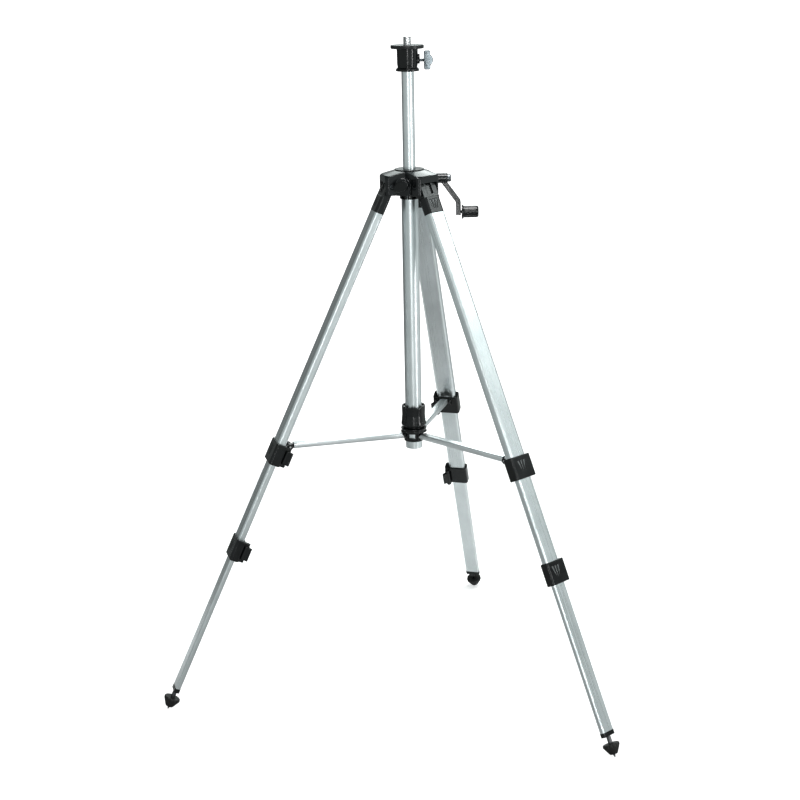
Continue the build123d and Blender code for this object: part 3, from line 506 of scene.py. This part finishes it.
def brace(leg):
    """Full-length spreader channel, and the finish of its end fitting and pin.

    The channel's width and heights are measured on brace 1, which lies along the y axis.
    """
    place = brace_place(leg)
    start = joint_place(f"brace{leg}_hub_pivot")[0]
    end = joint_place(f"brace{leg}_leg_pivot")[0]
    length = (end - start).length
    least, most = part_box("brace1_channel")
    half = (most[0] - least[0]) / 2
    section = channel_outline(half, least[2] - start.z, most[2] - start.z)
    stations = (CHANNEL_START, length / 2, length - END_GAP)
    points = [(x, y, z) for x in stations for y, z in section]
    count = len(section)
    steps = len(stations) - 1
    faces = ring_faces(count, steps)
    for base in (0, steps * count):
        last = base + count - 1
        faces += [(base + i, base + i + 1, last - i - 1, last - i) for i in range(count // 2 - 1)]
    mesh = mesh_of(f"brace{leg}_bar", points, faces, place)
    bar = add_piece(
        f"brace{leg}_bar", mesh, BRACE_METAL[leg], f"brace{leg}_inner",
        (f"brace{leg}_channel",),
    )
    edges = bar.modifiers.new("edges", "BEVEL")
    edges.width = CHANNEL_EDGE
    edges.segments = 2
    edges.limit_method = "ANGLE"
    dress(f"brace{leg}_end", BLACK_PLASTIC)
    dress(f"brace{leg}_pin", STEEL)


for leg in LEGS:
    brace(leg)

# ------------------------------------------------------------------ legs
for leg in LEGS:
    for tube in ("upper", "middle", "lower"):
        dress(f"leg{leg}_{tube}_tube", LEG_METAL[leg])
    dress(f"leg{leg}_foot_spike", SPIKE_STEEL)
LEG_SOFT = dict(voxel=0.45 * MM, passes=5, keep=0.35)
LEVER_SOFT = dict(LEG_SOFT, keep=0.8)
MOULDINGS = (  # part, body, height of the outer face whose sunk marks get a painted highlight, softness
    ("top_cap", "upper", 10.15 * MM, LEG_SOFT),
    ("upper_collar", "upper", 12.5 * MM, LEG_SOFT),
    ("upper_lever", "upper_lever", None, LEVER_SOFT),
    ("lower_collar", "middle", 10.5 * MM, LEG_SOFT),
    ("lower_lever", "lower_lever", None, LEVER_SOFT),
    ("foot_plug", "lower", None, LEG_SOFT),
)
for part, body, face, detail in MOULDINGS:
    soften_legs("leg{}_" + part, BLACK_PLASTIC, "leg{}_" + body, "black_plastic", face, **detail)
soften_legs("leg{}_rubber_foot", RUBBER, "leg{}_foot", "foot_rubber", None, **LEG_SOFT)


# ------------------------------------------------------------------ studio
def area_light(name, place, target, size, power):
    """Soft box aimed at a point."""
    light = bpy.data.lights.new(name, "AREA")
    light.shape = "RECTANGLE"
    light.size, light.size_y = size
    light.energy = power
    lamp = bpy.data.objects.new(name, light)
    lamp.location = place
    lamp.rotation_euler = (Vector(target) - Vector(place)).to_track_quat("-Z", "Y").to_euler()
    bpy.context.scene.collection.objects.link(lamp)


def floor_material():
    """Matt white paper, lit to pure white where the camera sees it."""
    material, tree, bsdf = shader("paper")
    place = tree.nodes.new("ShaderNodeSeparateXYZ")
    tree.links.new(tree.nodes.new("ShaderNodeTexCoord").outputs["Object"], place.inputs[0])
    back = tree.nodes.new("ShaderNodeMapRange")
    back.interpolation_type = "SMOOTHSTEP"
    back.inputs["From Min"].default_value = -FLOOR_FADE
    back.inputs["From Max"].default_value = FLOOR_FADE
    tree.links.new(place.outputs["Y"], back.inputs["Value"])
    tree.links.new(tint(tree, back.outputs["Result"], *FLOOR_TONES), bsdf.inputs["Base Color"])
    level = tree.nodes.new("ShaderNodeMapRange")
    level.inputs["To Min"].default_value, level.inputs["To Max"].default_value = FLOOR_GLOWS
    tree.links.new(back.outputs["Result"], level.inputs["Value"])
    bsdf.inputs["Emission Color"].default_value = (1, 1, 1, 1)
    glow = tree.nodes.new("ShaderNodeMath")
    glow.operation = "MULTIPLY"
    tree.links.new(level.outputs["Result"], glow.inputs[1])
    seen = tree.nodes.new("ShaderNodeLightPath").outputs["Is Camera Ray"]
    tree.links.new(seen, glow.inputs[0])
    tree.links.new(glow.outputs["Value"], bsdf.inputs["Emission Strength"])
    bsdf.inputs["Roughness"].default_value = FLOOR_ROUGHNESS
    bsdf.inputs["Specular IOR Level"].default_value = FLOOR_SPECULAR
    return material


def panel(tree, total, azimuth, height, inner, outer, strength):
    """Add a soft round panel, seen in reflections, to the world's brightness.

    Azimuth is to the right of the camera's place, height above the horizon, and the panel fades
    from the inner to the outer angle; all in degrees.
    """
    turn = CAMERA_AZIMUTH + math.radians(azimuth)
    rise = math.radians(height)
    facing = tree.nodes.new("ShaderNodeVectorMath")
    facing.operation = "DOT_PRODUCT"
    facing.inputs[1].default_value = (
        math.sin(turn) * math.cos(rise), -math.cos(turn) * math.cos(rise), math.sin(rise)
    )
    tree.links.new(tree.nodes.new("ShaderNodeTexCoord").outputs["Generated"], facing.inputs[0])
    fade = tree.nodes.new("ShaderNodeMapRange")
    fade.interpolation_type = "SMOOTHSTEP"
    fade.inputs["From Min"].default_value = math.cos(math.radians(outer))
    fade.inputs["From Max"].default_value = math.cos(math.radians(inner))
    fade.inputs["To Max"].default_value = strength
    tree.links.new(facing.outputs["Value"], fade.inputs["Value"])
    joined = tree.nodes.new("ShaderNodeMath")
    joined.operation = "ADD"
    tree.links.new(total, joined.inputs[0])
    tree.links.new(fade.outputs["Result"], joined.inputs[1])
    return joined.outputs["Value"]


def world():
    """White to the eye; in reflections a dim room with soft panels."""
    surroundings = bpy.data.worlds.new("studio")
    surroundings.use_nodes = True
    tree = surroundings.node_tree
    dim = tree.nodes.new("ShaderNodeValue")
    dim.outputs["Value"].default_value = ROOM
    total = dim.outputs["Value"]
    for settings in PANELS:
        total = panel(tree, total, *settings)
    tone = tree.nodes.new("ShaderNodeVectorMath")
    tone.operation = "SCALE"
    tone.inputs[0].default_value = ROOM_TINT
    tree.links.new(total, tone.inputs["Scale"])
    seen = tree.nodes.new("ShaderNodeLightPath").outputs["Is Camera Ray"]
    mix = tree.nodes.new("ShaderNodeMix")
    mix.data_type = "RGBA"
    tree.links.new(seen, socket(mix.inputs, "Factor_Float"))
    tree.links.new(tone.outputs["Vector"], socket(mix.inputs, "A_Color"))
    socket(mix.inputs, "B_Color").default_value = (WHITE, WHITE, WHITE, 1)
    tree.links.new(socket(mix.outputs, "Result_Color"), tree.nodes["Background"].inputs["Color"])
    bpy.context.scene.world = surroundings


def around(azimuth, height, distance):
    """Place at a distance from the object's middle, azimuth to the right of the camera."""
    turn = CAMERA_AZIMUTH + math.radians(azimuth)
    rise = math.radians(height)
    out = Vector((math.sin(turn), -math.cos(turn), 0)) * math.cos(rise)
    return OBJECT_MIDDLE + (out + Vector((0, 0, math.sin(rise)))) * distance


def studio():
    """Paper floor, surroundings and soft boxes."""
    low = cad_bounds[0][2]
    turns = [math.tau * side / FLOOR_SIDES for side in range(FLOOR_SIDES)]
    ring = [(FLOOR_R * math.cos(t), FLOOR_R * math.sin(t), low) for t in turns]
    mesh = mesh_of("floor", ring, [tuple(range(FLOOR_SIDES))], Matrix.Identity(4), smooth=False)
    floor = bpy.data.objects.new("floor", mesh)
    mesh.materials.append(floor_material())
    bpy.context.scene.collection.objects.link(floor)
    world()
    for name, azimuth, height, size, power in STRIPS:
        area_light(name, around(azimuth, height, STRIP_DISTANCE), OBJECT_MIDDLE, size, power)
    bpy.context.scene.view_settings.view_transform = "Standard"
    bpy.context.scene.view_settings.look = "Medium High Contrast"


def camera():
    """Camera at the object's usual three-quarter view."""
    data = bpy.data.cameras.new("camera")
    data.lens = CAMERA_LENS
    data.sensor_width = SENSOR_WIDTH
    data.shift_x, data.shift_y = CAMERA_SHIFT
    data.clip_end = VIEW_END
    view = bpy.data.objects.new("camera", data)
    out = Vector((math.sin(CAMERA_AZIMUTH), -math.cos(CAMERA_AZIMUTH), 0))
    view.location = out * CAMERA_DISTANCE + Vector((0, 0, CAMERA_HEIGHT))
    turn = Matrix.Rotation(CAMERA_AZIMUTH, 3, "Z")
    tilt = Matrix.Rotation(math.pi / 2 - CAMERA_PITCH, 3, "X")
    roll = Matrix.Rotation(CAMERA_ROLL, 3, "Z")
    view.rotation_euler = (turn @ tilt @ roll).to_euler()
    bpy.context.scene.collection.objects.link(view)
    bpy.context.scene.camera = view


studio()
camera()
